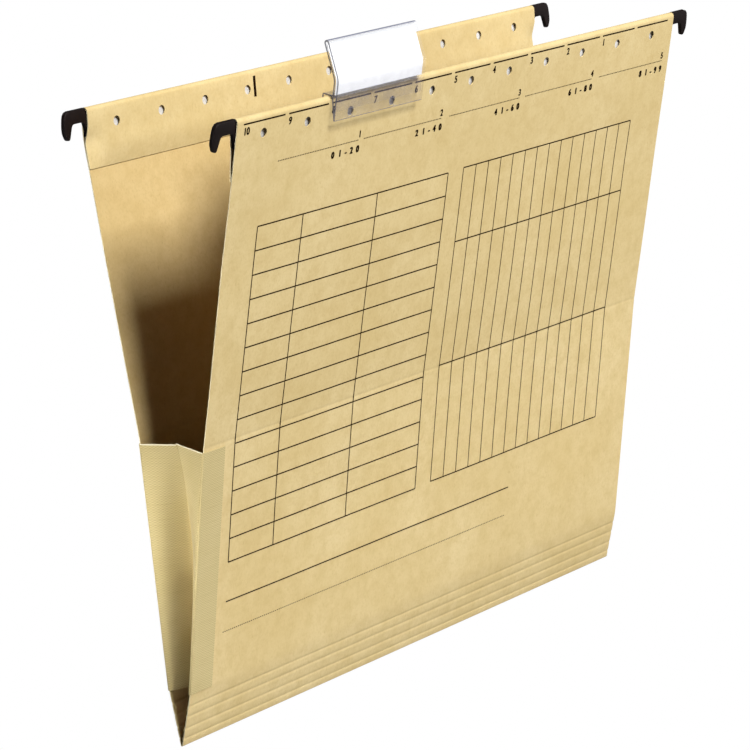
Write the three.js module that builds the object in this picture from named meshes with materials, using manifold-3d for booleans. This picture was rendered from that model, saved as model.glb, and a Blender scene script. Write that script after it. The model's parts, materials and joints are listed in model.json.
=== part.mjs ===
// Hanging document pocket: a folded kraft board with cloth gussets, hung by four hooks from two rails.
// Millimetres, +Z up, +X to the right and +Y to the back when the printed panel is faced.
// The origin is the middle of the four hook seats, where the pocket hangs.

import * as THREE from 'three';
import { mergeVertices } from 'three/addons/utils/BufferGeometryUtils.js';
import Module from 'manifold-3d';

const wasm = await Module();
wasm.setup();

const radians = THREE.MathUtils.degToRad;

// Which side of the pocket a panel is on, and which end a hook or gusset is on
const FRONT = -1;
const BACK = 1;
const LEFT = -1;
const RIGHT = 1;

// Kraft board, measured along the board from the bottom fold
const boardThickness = 0.4;
const panelWidth = 320;
const panelHeight = 262;
const creaseZone = 23;
const gussetZone = 104;
const hemZone = 26;
const upperZone = panelHeight - creaseZone - gussetZone - hemZone;

// How far each zone of the board leans outwards from the upright
const creaseTilt = radians(12.55);
const gussetTilt = radians(6.3);
const upperTilt = radians(9.6);
const frontHemTilt = radians(9.4);
const backHemTilt = radians(2.3);

// Fits
const restGap = 0.3;
const foldGap = 0.3;
const glueGap = 0.3;
const overrun = 2;

// Rails and the parallel part of the hem that holds them
const railThickness = 0.6;
const railHeight = 9;
const socketClearance = 0.25;
const hookThickness = 2;
const channelGap = hookThickness + 2 * restGap;
const hemRadius = (channelGap + boardThickness) / 2;
const flapDepth = 24;
const hemArcSteps = 6;

// Punched holes along each hem
const holeDiameter = 4;
const holePitch = 28.5;
const holeCount = 11;
const holeDepth = 7.8;
const holeSides = 16;

// Hooks, measured outwards from the panel's side and down from its top edge
const hookReach = 14;
const hookBarHeight = 5.6;
const hookDrop = 11.4;
const hookShoulder = 9.2;
const notchStart = 1.2;
const notchWidth = 7.1;
const tipWidth = 2.8;
const tipSetback = 1.6;
const bulgeDrop = 6.5;
const hookCorner = 1.6;
const notchCorner = 1;
const rootLength = 14;
const rootTop = boardThickness + channelGap / 2;
const socketDepth = 9;
const socketWall = 0.9;
const socketHeight = railHeight + 2 * socketClearance;
const rootBottom = rootTop + socketHeight + 2 * socketWall;
const channelDepth = rootBottom + restGap;

// Cloth gussets: two leaves folded inwards and a flap glued to each panel
const clothThickness = 0.4;
const flapWidth = 13.5;
const topCreaseInset = 4;
const leafRows = 8;

// Clear tab, measured outwards from the front panel's middle surface and up from its top edge
const tabWidth = 60;
const tabWall = 0.7;
const tabGap = 1;
const tabFront = 2.75;
const tabDrop = 8.8;
const tabBendHeight = 6.1;
const tabBendLength = 2.5;
const tabLean = radians(26);
const tabLeanLength = 13.9;
const tabFirstHole = 2;
const tabEndToStud = 14.4;
const backLegDrop = 6;
const studDiameter = 3.2;
const studSides = 14;
const cornerCut = 8.4;

// Paper label in the tab
const labelThickness = 0.3;
const labelEndGap = 0.8;
const labelFloorGap = 0.4;

const finishes = {
  kraft: { color: 0xdfc88d, roughness: 0.85, metalness: 0 },
  linen: { color: 0xcfc08b, roughness: 0.9, metalness: 0 },
  steel: { color: 0xb9bcc0, roughness: 0.35, metalness: 1 },
  nylon: { color: 0x1e191b, roughness: 0.4, metalness: 0 },
  clear: { color: 0xdfe6ec, roughness: 0.1, metalness: 0, transparent: true, opacity: 0.35 },
  paper: { color: 0xfafafa, roughness: 0.8, metalness: 0 },
};

function namedMesh(name, geometry, finish) {
  const mesh = new THREE.Mesh(geometry, new THREE.MeshStandardMaterial(finishes[finish]));
  mesh.name = name;
  return mesh;
}

// Solids: joins and cuts

function toSolid(geometry) {
  const bare = geometry.clone();
  bare.deleteAttribute('normal');
  bare.deleteAttribute('uv');
  const merged = mergeVertices(bare);
  const vertProperties = new Float32Array(merged.attributes.position.array);
  const triVerts = new Uint32Array(merged.index.array);
  return new wasm.Manifold(new wasm.Mesh({ numProp: 3, vertProperties, triVerts }));
}

function toGeometry(solid) {
  const mesh = solid.getMesh();
  const indexed = new THREE.BufferGeometry();
  indexed.setAttribute('position', new THREE.BufferAttribute(mesh.vertProperties, mesh.numProp));
  indexed.setIndex(new THREE.BufferAttribute(mesh.triVerts, 1));
  const geometry = indexed.toNonIndexed();
  geometry.computeVertexNormals();
  return geometry;
}

function cut(geometry, tools) {
  let solid = toSolid(geometry);
  for (const tool of tools) {
    solid = solid.subtract(toSolid(tool));
  }
  return toGeometry(solid);
}

function join(geometries) {
  let solid = toSolid(geometries[0]);
  for (const geometry of geometries.slice(1)) {
    solid = solid.add(toSolid(geometry));
  }
  return toGeometry(solid);
}

// Outlines and extrusions

function offsetPath(path, distance) {
  const sides = [];
  for (let i = 1; i < path.length; i += 1) {
    const along = path[i].clone().sub(path[i - 1]).normalize();
    sides.push(new THREE.Vector2(-along.y, along.x));
  }
  return path.map((point, i) => {
    const before = sides[Math.max(i - 1, 0)];
    const after = sides[Math.min(i, sides.length - 1)];
    const mitre = before.clone().add(after).divideScalar(1 + before.dot(after));
    return point.clone().addScaledVector(mitre, distance);
  });
}

function ribbon(path, thickness) {
  const left = offsetPath(path, thickness / 2);
  const right = offsetPath(path, -thickness / 2);
  return [...left, ...right.reverse()];
}

function extrude(outline, length, axes) {
  const shape = outline instanceof THREE.Shape ? outline : new THREE.Shape(outline);
  const geometry = new THREE.ExtrudeGeometry(shape, { depth: length, bevelEnabled: false, curveSegments: 3 });
  geometry.translate(0, 0, -length / 2);
  return geometry.applyMatrix4(axes);
}

const axisX = new THREE.Vector3(1, 0, 0);
const axisY = new THREE.Vector3(0, 1, 0);
const axisZ = new THREE.Vector3(0, 0, 1);

// An outline in Y and Z drawn out along X, centred on X = 0
function alongX(outline, length) {
  return extrude(outline, length, new THREE.Matrix4().makeBasis(axisY, axisZ, axisX));
}

// An outline in X and Z drawn out along Y, centred on Y = 0
function alongY(outline, length) {
  return extrude(outline, length, new THREE.Matrix4().makeBasis(axisX, axisZ, axisY.clone().negate()));
}

// A cylinder along Y, centred on the given place
function pegAlongY(diameter, length, sides, x, y, z) {
  const geometry = new THREE.CylinderGeometry(diameter / 2, diameter / 2, length, sides);
  return geometry.translate(x, y, z);
}

// Section of the pocket: outward distance from the fold's plane and height, at a distance along the board

function hemTiltOf(side) {
  return side === FRONT ? frontHemTilt : backHemTilt;
}

function sectionPoint(side, distance) {
  const zones = [
    [creaseZone, creaseTilt],
    [gussetZone, gussetTilt],
    [upperZone, upperTilt],
    [hemZone, hemTiltOf(side)],
  ];
  const point = new THREE.Vector2(foldGap / 2 + boardThickness / 2, 0);
  let left = distance;
  for (const [length, tilt] of zones) {
    const step = Math.min(left, length);
    point.x += step * Math.sin(tilt);
    point.y += step * Math.cos(tilt);
    left -= step;
  }
  return point;
}

// A point of the hem, given outwards from the board's middle surface and down from the top edge
function hemPoint(side, outward, down) {
  const tilt = hemTiltOf(side);
  const base = sectionPoint(side, panelHeight);
  const x = base.x + outward * Math.cos(tilt) - down * Math.sin(tilt);
  const y = base.y - outward * Math.sin(tilt) - down * Math.cos(tilt);
  return new THREE.Vector2(x, y);
}

// A group whose Z runs up the board at a distance along it, leaning as the board does there
function placedOnBoard(side, distance, tilt) {
  const place = sectionPoint(side, distance);
  const group = new THREE.Group();
  group.position.set(0, side * place.x, place.y);
  group.rotation.x = -side * tilt;
  return group;
}

// Panels

function hemPath(side) {
  const points = [];
  const arcCentre = boardThickness / 2 + hemRadius;
  for (let i = 0; i <= hemArcSteps; i += 1) {
    const angle = (Math.PI * i) / hemArcSteps;
    const outward = hemRadius * (Math.cos(angle) - 1);
    points.push(hemPoint(side, outward, arcCentre - hemRadius * Math.sin(angle)));
  }
  points.push(hemPoint(side, -2 * hemRadius, channelDepth));
  points.push(hemPoint(side, -boardThickness - glueGap, flapDepth));
  return points;
}

function holeCutters(side) {
  const group = placedOnBoard(side, panelHeight, hemTiltOf(side));
  group.updateMatrix();
  const length = 2 * hemRadius + boardThickness + 2 * overrun;
  const cutters = [];
  for (let i = 0; i < holeCount; i += 1) {
    const x = (i - (holeCount - 1) / 2) * holePitch;
    const cutter = pegAlongY(holeDiameter, length, holeSides, x, -side * hemRadius, -holeDepth);
    cutters.push(cutter.applyMatrix4(group.matrix));
  }
  return cutters;
}

function panelGeometry(side) {
  const heights = [0, creaseZone, creaseZone + gussetZone, creaseZone + gussetZone + upperZone];
  const path = heights.map((height) => sectionPoint(side, height));
  path.push(...hemPath(side));
  const outline = ribbon(path, boardThickness).map((point) => new THREE.Vector2(side * point.x, point.y));
  return cut(alongX(outline, panelWidth), holeCutters(side));
}

// Hooks: a flat plate with a notch over the rail of the cabinet, and a root with a socket inside the hem

function hookOutline(end) {
  const at = (outward, down) => [end * (panelWidth / 2 + outward), -down];
  const legInside = notchStart + notchWidth;
  const tipOutside = hookReach - tipSetback;
  const shape = new THREE.Shape();
  shape.moveTo(...at(restGap, rootTop));
  shape.lineTo(...at(restGap, 0));
  shape.lineTo(...at(tipOutside - hookCorner, 0));
  shape.quadraticCurveTo(...at(tipOutside, 0), ...at(tipOutside + hookCorner / 2, hookCorner));
  shape.quadraticCurveTo(...at(hookReach + tipSetback / 2, bulgeDrop), ...at(tipOutside, hookDrop));
  shape.lineTo(...at(tipOutside - tipWidth, hookDrop));
  shape.lineTo(...at(legInside + notchCorner / 2, hookShoulder));
  shape.lineTo(...at(legInside, hookBarHeight + notchCorner));
  shape.quadraticCurveTo(...at(legInside, hookBarHeight), ...at(legInside - notchCorner, hookBarHeight));
  shape.lineTo(...at(notchStart + notchCorner, hookBarHeight));
  shape.quadraticCurveTo(...at(notchStart, hookBarHeight), ...at(notchStart, hookBarHeight + notchCorner));
  shape.lineTo(...at(0, hookShoulder));
  shape.lineTo(...at(0, rootBottom));
  shape.lineTo(...at(-rootLength, rootBottom));
  shape.lineTo(...at(-rootLength, rootTop));
  return shape;
}

function hookGeometry(side, end) {
  const plate = alongY(hookOutline(end), hookThickness);
  const slotLength = socketDepth + overrun;
  const slot = new THREE.BoxGeometry(slotLength, railThickness + 2 * socketClearance, socketHeight);
  const slotX = panelWidth / 2 - rootLength + socketDepth - slotLength / 2;
  slot.translate(end * slotX, 0, -rootTop - socketWall - socketHeight / 2);
  return cut(plate, [slot]).translate(0, -side * hemRadius, 0);
}

function railGeometry(side) {
  const length = panelWidth - 2 * (rootLength - socketDepth + socketClearance);
  const strip = new THREE.BoxGeometry(length, railThickness, railHeight);
  return strip.translate(0, -side * hemRadius, -rootTop - socketWall - socketHeight / 2);
}

// Gussets

function leafWidthOf(spans) {
  return Math.hypot(spans[spans.length - 1].depth, topCreaseInset);
}

// At rows up the gusset: height, outward distance of the leaf's glued edge, and its depth to the crease
function leafSpans(side, end) {
  const flapRoom = end === RIGHT ? glueGap + clothThickness : 0;
  const creaseOutward = restGap / 2 + clothThickness / 2;
  const spans = [];
  for (let row = 0; row <= leafRows; row += 1) {
    const point = sectionPoint(side, creaseZone + (gussetZone * row) / leafRows);
    const innerFace = point.x - boardThickness / 2 / Math.cos(gussetTilt);
    const edgeOutward = innerFace - flapRoom - restGap - clothThickness / 2;
    spans.push({ height: point.y, edgeOutward, creaseOutward, depth: edgeOutward - creaseOutward });
  }
  return spans;
}

function leafGeometry(side, end) {
  const spans = leafSpans(side, end);
  const width = leafWidthOf(spans);
  const positions = [];
  for (const { height, edgeOutward, creaseOutward, depth } of spans) {
    const inset = Math.sqrt(width * width - depth * depth);
    const edge = new THREE.Vector2(0, edgeOutward);
    const crease = new THREE.Vector2(inset, creaseOutward);
    for (const corner of ribbon([edge, crease], clothThickness)) {
      positions.push(end * (panelWidth / 2 - corner.x), side * corner.y, height);
    }
  }
  const flipped = side * end > 0;
  const indices = [];
  const quad = (a, b, c, d) => indices.push(...(flipped ? [a, c, b, a, d, c] : [a, b, c, a, c, d]));
  // The cloth twists, so both its faces are split along the same diagonals, which keeps its thickness even
  for (let row = 0; row < leafRows; row += 1) {
    const low = row * 4;
    const high = low + 4;
    quad(low, high, high + 1, low + 1);
    quad(low + 1, high + 1, high + 2, low + 2);
    quad(high + 2, high + 3, low + 3, low + 2);
    quad(high + 3, high, low, low + 3);
  }
  quad(0, 1, 2, 3);
  const last = leafRows * 4;
  quad(last + 3, last + 2, last + 1, last);
  const geometry = new THREE.BufferGeometry();
  geometry.setAttribute('position', new THREE.Float32BufferAttribute(positions, 3));
  geometry.setIndex(indices);
  return geometry;
}

// The left gusset's flap lies on the panel's outer face and wraps round its side edge
function outerFlapOutline() {
  const inner = boardThickness / 2 + glueGap;
  const outer = inner + clothThickness;
  const wrapInner = panelWidth / 2 + glueGap;
  const wrapOuter = wrapInner + clothThickness;
  return [
    [panelWidth / 2 - flapWidth, inner],
    [panelWidth / 2 - flapWidth, outer],
    [wrapOuter, outer],
    [wrapOuter, -boardThickness / 2],
    [wrapInner, -boardThickness / 2],
    [wrapInner, inner],
  ];
}

// The right gusset's flap lies on the panel's inner face, up to its side edge
function innerFlapOutline() {
  const outer = -boardThickness / 2 - glueGap;
  const inner = outer - clothThickness;
  return [
    [panelWidth / 2 - flapWidth, inner],
    [panelWidth / 2 - flapWidth, outer],
    [panelWidth / 2, outer],
    [panelWidth / 2, inner],
  ];
}

function flapGeometry(side, end) {
  const outline = (end === RIGHT ? innerFlapOutline() : outerFlapOutline())
    .map(([x, outward]) => new THREE.Vector2(end * x, side * outward));
  return extrude(outline, gussetZone, new THREE.Matrix4()).translate(0, 0, gussetZone / 2);
}

// Clear tab: a folded window that stands on the hem's top edge, a V-shaped clip with studs, and a back leg

function tabFrontPath() {
  const bottom = new THREE.Vector2(tabFront, -tabDrop);
  const bend = new THREE.Vector2(tabFront, tabBendHeight);
  const halfLean = new THREE.Vector2(-Math.sin(tabLean / 2), Math.cos(tabLean / 2));
  const fullLean = new THREE.Vector2(-Math.sin(tabLean), Math.cos(tabLean));
  const middle = bend.clone().addScaledVector(halfLean, tabBendLength);
  const top = middle.clone().addScaledVector(fullLean, tabLeanLength);
  return [bottom, bend, middle, top];
}

// The same path from a floor height up, moved towards the back
function tabPathBehind(distance, floor, topGap) {
  const [, bend, middle, top] = offsetPath(tabFrontPath(), distance);
  const lean = top.clone().sub(middle).normalize();
  return [new THREE.Vector2(bend.x, floor), bend, middle, top.clone().addScaledVector(lean, -topGap)];
}

function toFront(outline) {
  return outline.map((point) => new THREE.Vector2(FRONT * point.x, point.y));
}

function tabGeometry() {
  const pitch = tabWall + tabGap;
  const clearOfHem = restGap + tabWall / 2;
  const frontWall = tabFrontPath();
  const backWall = tabPathBehind(pitch, clearOfHem, 0);
  const overTop = boardThickness / 2 + clearOfHem;
  const behind = -2 * hemRadius - boardThickness / 2 - clearOfHem;
  const clip = [
    new THREE.Vector2(tabFront, -tabDrop),
    new THREE.Vector2(overTop, clearOfHem - tabWall),
    new THREE.Vector2(overTop, clearOfHem),
    new THREE.Vector2(behind, clearOfHem),
    new THREE.Vector2(behind, -backLegDrop),
  ];
  const floor = [new THREE.Vector2(overTop, clearOfHem), new THREE.Vector2(tabFront, clearOfHem)];
  const window = ribbon([...frontWall, ...backWall.reverse()], tabWall);
  const pieces = [window, ribbon(clip, tabWall), ribbon(floor, tabWall)];
  const solids = pieces.map((outline) => alongX(toFront(outline), tabWidth));
  const body = cut(join(solids), [tabCornerCutter()]);
  return join([body, ...studGeometries()]);
}

// The window's lower right corner is cut off at a slant below the hem's top edge
function tabCornerCutter() {
  const depth = 2 * (tabFront + tabWall);
  const drop = tabDrop + tabWall;
  const outline = [
    new THREE.Vector2(tabWidth / 2, 0),
    new THREE.Vector2(tabWidth / 2 - cornerCut, -drop),
    new THREE.Vector2(tabWidth / 2 - cornerCut, -drop - overrun),
    new THREE.Vector2(tabWidth / 2 + overrun, -drop - overrun),
    new THREE.Vector2(tabWidth / 2 + overrun, 0),
  ];
  return alongY(outline, depth).translate(0, FRONT * (boardThickness + depth / 2), 0);
}

// Two studs reach from the clip through the board's holes, and end clear of the rail
function studGeometries() {
  const riseShare = (tabDrop - holeDepth) / tabDrop;
  const legOutward = tabFront + (boardThickness / 2 + restGap - tabFront) * riseShare;
  const tip = -hemRadius + railThickness / 2 + restGap;
  const length = legOutward - tip;
  return [0, 1].map((stud) => {
    const x = -tabWidth / 2 + tabEndToStud + stud * holePitch;
    return pegAlongY(studDiameter, length, studSides, x, FRONT * (tip + length / 2), -holeDepth);
  });
}

function labelGeometry() {
  const middle = (tabWall + tabGap) / 2;
  const floor = restGap + tabWall + labelFloorGap;
  const path = tabPathBehind(middle, floor, tabWall / 2 + labelFloorGap);
  return alongX(toFront(ribbon(path, labelThickness)), tabWidth - 2 * labelEndGap);
}

// Assembly

function addHem(pocket, side, sideName) {
  const hem = placedOnBoard(side, panelHeight, hemTiltOf(side));
  hem.add(namedMesh(`${sideName}_rail`, railGeometry(side), 'steel'));
  hem.add(namedMesh(`${sideName}_left_hook`, hookGeometry(side, LEFT), 'nylon'));
  hem.add(namedMesh(`${sideName}_right_hook`, hookGeometry(side, RIGHT), 'nylon'));
  pocket.add(hem);
  return hem;
}

function addGusset(pocket, end, endName) {
  for (const [side, sideName] of [[FRONT, 'front'], [BACK, 'back']]) {
    pocket.add(namedMesh(`${endName}_${sideName}_leaf`, leafGeometry(side, end), 'linen'));
    const glued = placedOnBoard(side, creaseZone, gussetTilt);
    glued.add(namedMesh(`${endName}_${sideName}_flap`, flapGeometry(side, end), 'linen'));
    pocket.add(glued);
  }
}

function addTab(frontHem) {
  const firstHole = (tabFirstHole - (holeCount - 1) / 2) * holePitch;
  const tab = new THREE.Group();
  tab.position.x = firstHole - tabEndToStud + tabWidth / 2;
  tab.add(namedMesh('tab_holder', tabGeometry(), 'clear'));
  tab.add(namedMesh('tab_label', labelGeometry(), 'paper'));
  frontHem.add(tab);
}

function hangPlace() {
  const front = hemPoint(FRONT, -hemRadius, hookBarHeight);
  const back = hemPoint(BACK, -hemRadius, hookBarHeight);
  return new THREE.Vector3(0, (back.x - front.x) / 2, (back.y + front.y) / 2);
}

const pocket = new THREE.Group();
pocket.add(namedMesh('front_panel', panelGeometry(FRONT), 'kraft'));
pocket.add(namedMesh('back_panel', panelGeometry(BACK), 'kraft'));
const frontHem = addHem(pocket, FRONT, 'front');
addHem(pocket, BACK, 'back');
addGusset(pocket, LEFT, 'left');
addGusset(pocket, RIGHT, 'right');
addTab(frontHem);
pocket.position.copy(hangPlace().negate());

export default pocket;
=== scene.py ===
import json
import math

import bmesh
import bpy
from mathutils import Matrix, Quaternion, Vector, noise


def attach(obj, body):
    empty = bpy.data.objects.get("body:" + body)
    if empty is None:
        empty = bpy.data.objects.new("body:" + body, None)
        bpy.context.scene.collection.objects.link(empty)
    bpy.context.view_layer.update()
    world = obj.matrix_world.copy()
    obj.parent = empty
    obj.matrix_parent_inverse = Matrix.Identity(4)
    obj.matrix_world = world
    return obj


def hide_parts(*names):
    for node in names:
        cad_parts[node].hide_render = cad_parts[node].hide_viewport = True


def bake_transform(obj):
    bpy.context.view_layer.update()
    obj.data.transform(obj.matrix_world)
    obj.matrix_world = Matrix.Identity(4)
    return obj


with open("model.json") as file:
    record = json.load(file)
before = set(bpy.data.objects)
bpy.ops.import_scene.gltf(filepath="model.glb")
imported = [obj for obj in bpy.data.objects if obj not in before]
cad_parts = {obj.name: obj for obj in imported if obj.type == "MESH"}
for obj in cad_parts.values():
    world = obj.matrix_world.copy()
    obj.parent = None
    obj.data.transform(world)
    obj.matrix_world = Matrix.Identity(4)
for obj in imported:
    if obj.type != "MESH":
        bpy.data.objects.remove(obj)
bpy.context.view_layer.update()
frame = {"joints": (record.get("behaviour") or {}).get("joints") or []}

# The board: one sheet of buff kraft card 0.4 mm thick, die cut, scored across the bottom and folded up there.
# Both top edges are turned inwards and glued down, so that each makes a flat channel for a rail.
# Eleven holes are punched through each hem.
MM = 0.001
FRONT, BACK = -1, 1
LEFT, RIGHT = -1, 1
SIDES = {FRONT: "front", BACK: "back"}
ENDS = {LEFT: "left", RIGHT: "right"}
fold_line = Vector(next(j for j in frame["joints"] if j["name"] == "bottom_fold")["pos_m"]) / MM

board_width, board_height, board_thickness = 320.0, 262.0, 0.4
half_width, half_board = board_width / 2, board_thickness / 2
fold_radius = 0.35
# Where the board's lean changes: height along it, lean below and above in degrees, half length of the bend
crease_height, gusset_height, hem_height, channel_floor = 23.0, 127.0, 236.0, 248.7
bends = {
    FRONT: [(crease_height, 12.55, 6.3, 1.5), (gusset_height, 6.3, 9.6, 5.0), (hem_height, 9.6, 9.4, 4.0)],
    BACK: [(crease_height, 12.55, 5.7, 1.5), (gusset_height, 5.7, 10.7, 5.0), (hem_height, 10.7, 10.9, 2.0),
           (channel_floor, 10.9, 3.5, 3.0)],
}
# A buckled half stands a little lower than its own length
settled = {FRONT: 1.0, BACK: 0.9958}
section_step = 0.5
# Lines pressed across the card: height, half width, depth. Four scores, and a dent where the gussets end
score_heights, score_half_width, score_depth = (2.9, 7.5, 12.8, 17.4), 0.95, 0.18
pressed_lines = [(height, score_half_width, score_depth) for height in score_heights]
pressed_lines.append((gusset_height, 1.2, 0.1))
# Slow buckles: height, length across and up, and the layer of noise that each is taken from
buckles = ((0.75, 105, 80, 3.7), (0.16, 38, 46, 11.3))
# A buckle grows above the lowest height and dies out below the highest. Near the sides it starts inwards of
# the cloth or above it. Each is a place and the length over which the change comes
lowest_buckle, highest_buckle, inwards_of_cloth, above_cloth = (30, 45), (234, 40), (144, 25), (130, 30)
hem_radius, flap_height, flap_gap = 1.5, 237.0, 0.46
# Beside the hooks a hem was pressed flat on their roots: by what share, from how far down, over what length
pressed_hems = {FRONT: (0.55, 4, 12), BACK: (1.0, 6, 10)}
pinch_from, pinch_length = 152, 7
hole_radius, hole_pitch, hole_drop, hole_count = 2.0, 28.5, 7.8, 11
hole_places = [(i - (hole_count - 1) / 2) * hole_pitch for i in range(hole_count)]


def ease(t):
    """A smooth step from 0 to 1."""
    t = min(max(t, 0.0), 1.0)
    return t * t * (3 - 2 * t)


def span(low, high, steps):
    return [low + (high - low) * i / steps for i in range(steps + 1)]


def lean(side, s):
    """Angle of the board from the upright at a distance s along it from the fold."""
    angle = bends[side][0][1]
    for height, below, above, half in bends[side]:
        angle += (above - below) * ease((s - height + half) / (2 * half))
    return math.radians(angle)


def section_of(side):
    """Places outwards and upwards from the fold line, one for each step along the board's middle surface."""
    places = [(fold_radius, 0.0)]
    for i in range(int(board_height / section_step)):
        angle = lean(side, (i + 0.5) * section_step)
        out, up = places[-1]
        rise = math.cos(angle) * section_step * settled[side]
        places.append((out + math.sin(angle) * section_step, up + rise))
    return places


sections = {side: section_of(side) for side in SIDES}


def surface_wave(side, x, s):
    """How far the card stands out of true: pressed lines, and the slow buckles of a large loose sheet."""
    pressed = 0.0
    for height, half, depth in pressed_lines:
        away = abs(s - height) / half
        if away < 1:
            pressed += depth * math.cos(away * math.pi / 2) ** 2
    (low, low_run), (high, high_run) = lowest_buckle, highest_buckle
    (clear_side, side_run), (clear_top, top_run) = inwards_of_cloth, above_cloth
    loose = ease((s - low) / low_run) * ease((high - s) / high_run)
    clear_of_cloth = max(ease((clear_side - abs(x)) / side_run), ease((s - clear_top) / top_run))
    waves = sum(height * noise.noise(Vector((x / across, s / up, layer * side)))
                for height, across, up, layer in buckles)
    return loose * clear_of_cloth * waves - pressed


def board_point(side, x, s, out=0.0):
    """Place in metres of a point x across and s up the board, and out from its middle surface."""
    place = min(max(s, 0.0), board_height - 1e-6) / section_step
    i = int(place)
    share = place - i
    (n0, z0), (n1, z1) = sections[side][i], sections[side][i + 1]
    angle = lean(side, s)
    beyond = s - min(max(s, 0.0), board_height)
    out += surface_wave(side, x, s)
    n = n0 + (n1 - n0) * share + out * math.cos(angle) + beyond * math.sin(angle)
    z = z0 + (z1 - z0) * share - out * math.sin(angle) + beyond * math.cos(angle)
    return Vector((x, fold_line.y + side * n, fold_line.z + z)) * MM


def facing_at(side, s):
    """A millimetre outwards from the board at a distance s along it, in metres."""
    return board_point(side, 0, s, 1) - board_point(side, 0, s, 0)


def pinch(side, x, s):
    """How much of the hem's hollow is lost beside the hooks, where it was pressed flat on their roots."""
    share, start, length = pressed_hems[side]
    return share * ease((abs(x) - pinch_from) / pinch_length) * ease((board_height - start - s) / length)


def half_board_path():
    """Stations along one half of the sheet, from the glued flap over the hem and down to the fold: how far up
    the board each is, and how far out from its middle surface."""
    path = []
    for s in span(flap_height, channel_floor, 8):
        rise = (s - flap_height) / (channel_floor - flap_height)
        path.append((s, -flap_gap - (2 * hem_radius - flap_gap) * math.sin(rise * math.pi / 2)))
    arc_height = board_height - half_board - hem_radius
    path += [(s, -2 * hem_radius) for s in span(channel_floor, arc_height, 4)[1:]]
    for turn in span(math.pi, 0.0, 12)[1:]:
        path.append((arc_height + hem_radius * math.sin(turn), hem_radius * (math.cos(turn) - 1)))
    # Rows of cells between two heights, closer together where the sheet bends
    rows = ((arc_height, 228, 10), (228, 132, 26), (132, 122, 8), (122, 26, 26), (26, 0, 14))
    heights = {s for low, high, steps in rows for s in span(low, high, steps)}
    for height in (*score_heights, gusset_height):
        heights |= set(span(height - score_half_width, height + score_half_width, 6))
    least_row = 0.15
    for s in sorted(heights, reverse=True):
        if s < arc_height and path[-1][0] - s > least_row:
            path.append((s, 0.0))
    for turn in (math.radians(degrees) for degrees in (25, 50, 75)):
        path.append((-fold_radius * math.sin(turn), fold_radius * (math.cos(turn) - 1)))
    return path


def link(name, data):
    piece = bpy.data.objects.new(name, data)
    bpy.context.scene.collection.objects.link(piece)
    return piece


def mesh_of(bm, name, sharp=35.0):
    """Ends a bmesh: all faces are smooth, except across edges sharper than an angle in degrees."""
    for face in bm.faces:
        face.smooth = True
    for edge in bm.edges:
        edge.smooth = edge.calc_face_angle(0.0) < math.radians(sharp)
    mesh = bpy.data.meshes.new(name)
    bm.to_mesh(mesh)
    bm.free()
    return mesh


def evaluated_mesh(piece):
    """A mesh of the piece as it looks with its modifiers or its text filled in."""
    bpy.context.view_layer.update()
    return bpy.data.meshes.new_from_object(piece.evaluated_get(bpy.context.evaluated_depsgraph_get()))


def bake_modifiers(piece, sharp=35.0):
    """Makes the modified shape the piece's own mesh."""
    shaped = evaluated_mesh(piece)
    piece.modifiers.clear()
    bm = bmesh.new()
    bm.from_mesh(shaped)
    bmesh.ops.remove_doubles(bm, verts=bm.verts, dist=1e-7)
    piece.data = mesh_of(bm, piece.name, sharp)
    return piece


def thicken(piece, thickness):
    """Gives a sheet a thickness in mm, half of it on each side."""
    wall = piece.modifiers.new("thickness", "SOLIDIFY")
    wall.thickness, wall.offset = thickness * MM, 0.0
    return wall


def cut_or_join(piece, other, operation):
    """Cuts the other piece out of a piece, or joins it on. The other one is gone afterwards."""
    change = piece.modifiers.new(operation.lower(), "BOOLEAN")
    change.operation, change.object, change.solver = operation, other, "EXACT"
    bake_modifiers(piece)
    bpy.data.objects.remove(other)


def grid_piece(name, columns, rows, place):
    """A sheet of columns by rows cells, each corner put where place(across, up) says, both from 0 to 1."""
    bm = bmesh.new()
    bmesh.ops.create_grid(bm, x_segments=columns, y_segments=rows, size=0.5, calc_uvs=False)
    for vert in bm.verts:
        vert.co = place(vert.co.x + 0.5, vert.co.y + 0.5)
    bmesh.ops.recalc_face_normals(bm, faces=bm.faces)
    return link(name, mesh_of(bm, name))


half_path = half_board_path()
board_path = [(FRONT, *station) for station in half_path]
board_path += [(BACK, *station) for station in reversed(half_path)]


def on_sheet(across, up):
    side, s, out = board_path[round(up * (len(board_path) - 1))]
    x = (across - 0.5) * board_width
    if s > flap_height and out < -flap_gap:
        out -= (out + flap_gap) * pinch(side, x, s)
    return board_point(side, x, s, out)


board = grid_piece("board", columns=64, rows=len(board_path) - 1, place=on_sheet)
wall = thicken(board, board_thickness)
wall.use_even_offset = True
# The outer face takes the first finish and the inner face the second. Both are made further down
wall.material_offset = 1
board.data.materials.append(None)
board.data.materials.append(None)
bake_modifiers(board)

punch, punch_length = bmesh.new(), 8
for side in SIDES:
    middle = board_point(side, 0, board_height - hole_drop, -hem_radius)
    facing = facing_at(side, board_height - hole_drop)
    turn = Vector((0, 0, 1)).rotation_difference(facing).to_matrix().to_4x4()
    for x in hole_places:
        made = bmesh.ops.create_cone(punch, cap_ends=True, segments=28, radius1=hole_radius * MM,
                                     radius2=hole_radius * MM, depth=punch_length * MM)
        bmesh.ops.transform(punch, matrix=turn, verts=made["verts"])
        bmesh.ops.translate(punch, vec=middle + Vector((x * MM, 0, 0)), verts=made["verts"])
cut_or_join(board, link("punch", mesh_of(punch, "punch")), "DIFFERENCE")


def linear(hex_colour):
    """An sRGB hex colour as the linear RGBA that the shaders take."""
    parts = [int(hex_colour[i:i + 2], 16) / 255 for i in (0, 2, 4)]
    return [p / 12.92 if p <= 0.04045 else ((p + 0.055) / 1.055) ** 2.4 for p in parts] + [1.0]


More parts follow.
